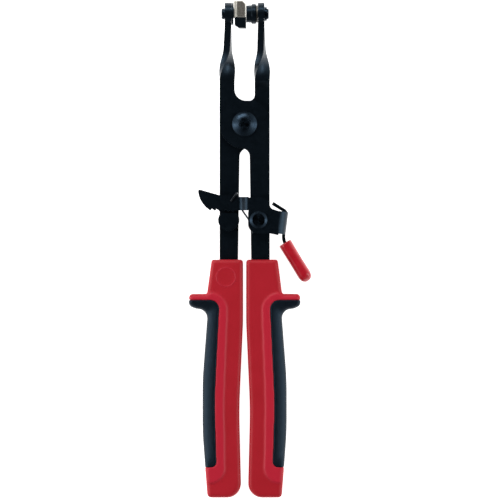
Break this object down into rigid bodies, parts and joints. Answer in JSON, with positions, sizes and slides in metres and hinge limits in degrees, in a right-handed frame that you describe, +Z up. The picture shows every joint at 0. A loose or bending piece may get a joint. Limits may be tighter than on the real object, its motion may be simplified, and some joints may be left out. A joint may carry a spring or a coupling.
{
  "type": "locking hose clamp pliers",
  "caption": "Long-reach pliers with crossed flat arms, swivelling jaws on cross pins, a toothed ratchet lever with spring, and two-part moulded handles.",
  "frame": {"origin": "bottom centre of the whole tool's box, lying flat on its handles", "axes": "+Y along the tool towards the jaws, +Z up through the main pivot, +X towards the ratchet lever's side"},
  "size_m": [0.074, 0.2998, 0.0204],
  "materials": {
    "black_steel": "black oxide, satin, with a bluish sheen",
    "dark_polished_steel": "polished dark steel",
    "zinc": "zinc plated, dull",
    "spring_steel": "blued drawn wire",
    "red_plastic": "moulded, fine satin texture",
    "black_rubber": "soft moulded grip, matte",
    "red_vinyl": "dipped vinyl, glossy"
  },
  "bodies": {
    "front_half": {"front_arm": "black_steel", "pivot_rivet": "dark_polished_steel", "pivot_washer": "dark_polished_steel", "right_handle_body": "red_plastic", "right_handle_grip": "black_rubber", "lever_rivet": "dark_polished_steel", "lever_bush": "dark_polished_steel"},
    "back_half": {"back_arm": "black_steel", "left_handle_body": "red_plastic", "left_handle_grip": "black_rubber", "catch_stud": "black_steel"},
    "left_jaw": {"left_jaw_pin": "black_steel", "left_jaw_collar": "black_steel", "left_jaw_claw": "black_steel", "left_jaw_block": "zinc"},
    "right_jaw": {"right_jaw_body": "black_steel", "right_jaw_pin": "black_steel", "right_jaw_spring_washer": "zinc", "right_jaw_retaining_ring": "dark_polished_steel"},
    "lever": {"ratchet_lever": "black_steel", "lever_grip": "red_vinyl", "lever_spring": "spring_steel"}
  },
  "joints": [
    {"name": "opening", "type": "hinge", "parent": "front_half", "child": "back_half", "pos_m": [-0.00332, 0.0755, 0.01], "axis": [0, 0, -1], "range_deg": [0, 30]},
    {"name": "left_jaw_swivel", "type": "hinge", "parent": "front_half", "child": "left_jaw", "pos_m": [-0.00332, 0.1419, 0.01202], "axis": [1, 0, 0], "continuous": true},
    {"name": "right_jaw_swivel", "type": "hinge", "parent": "back_half", "child": "right_jaw", "pos_m": [-0.00332, 0.1419, 0.01202], "axis": [1, 0, 0], "continuous": true},
    {"name": "lever_release", "type": "hinge", "parent": "front_half", "child": "lever", "pos_m": [0.00508, 0.0175, 0.016], "axis": [0, 0, -1], "range_deg": [0, 10.8]}
  ],
  "couplings": [
    {"joint": "lever_release", "follows": "opening", "ratio": 0.36}
  ]
}
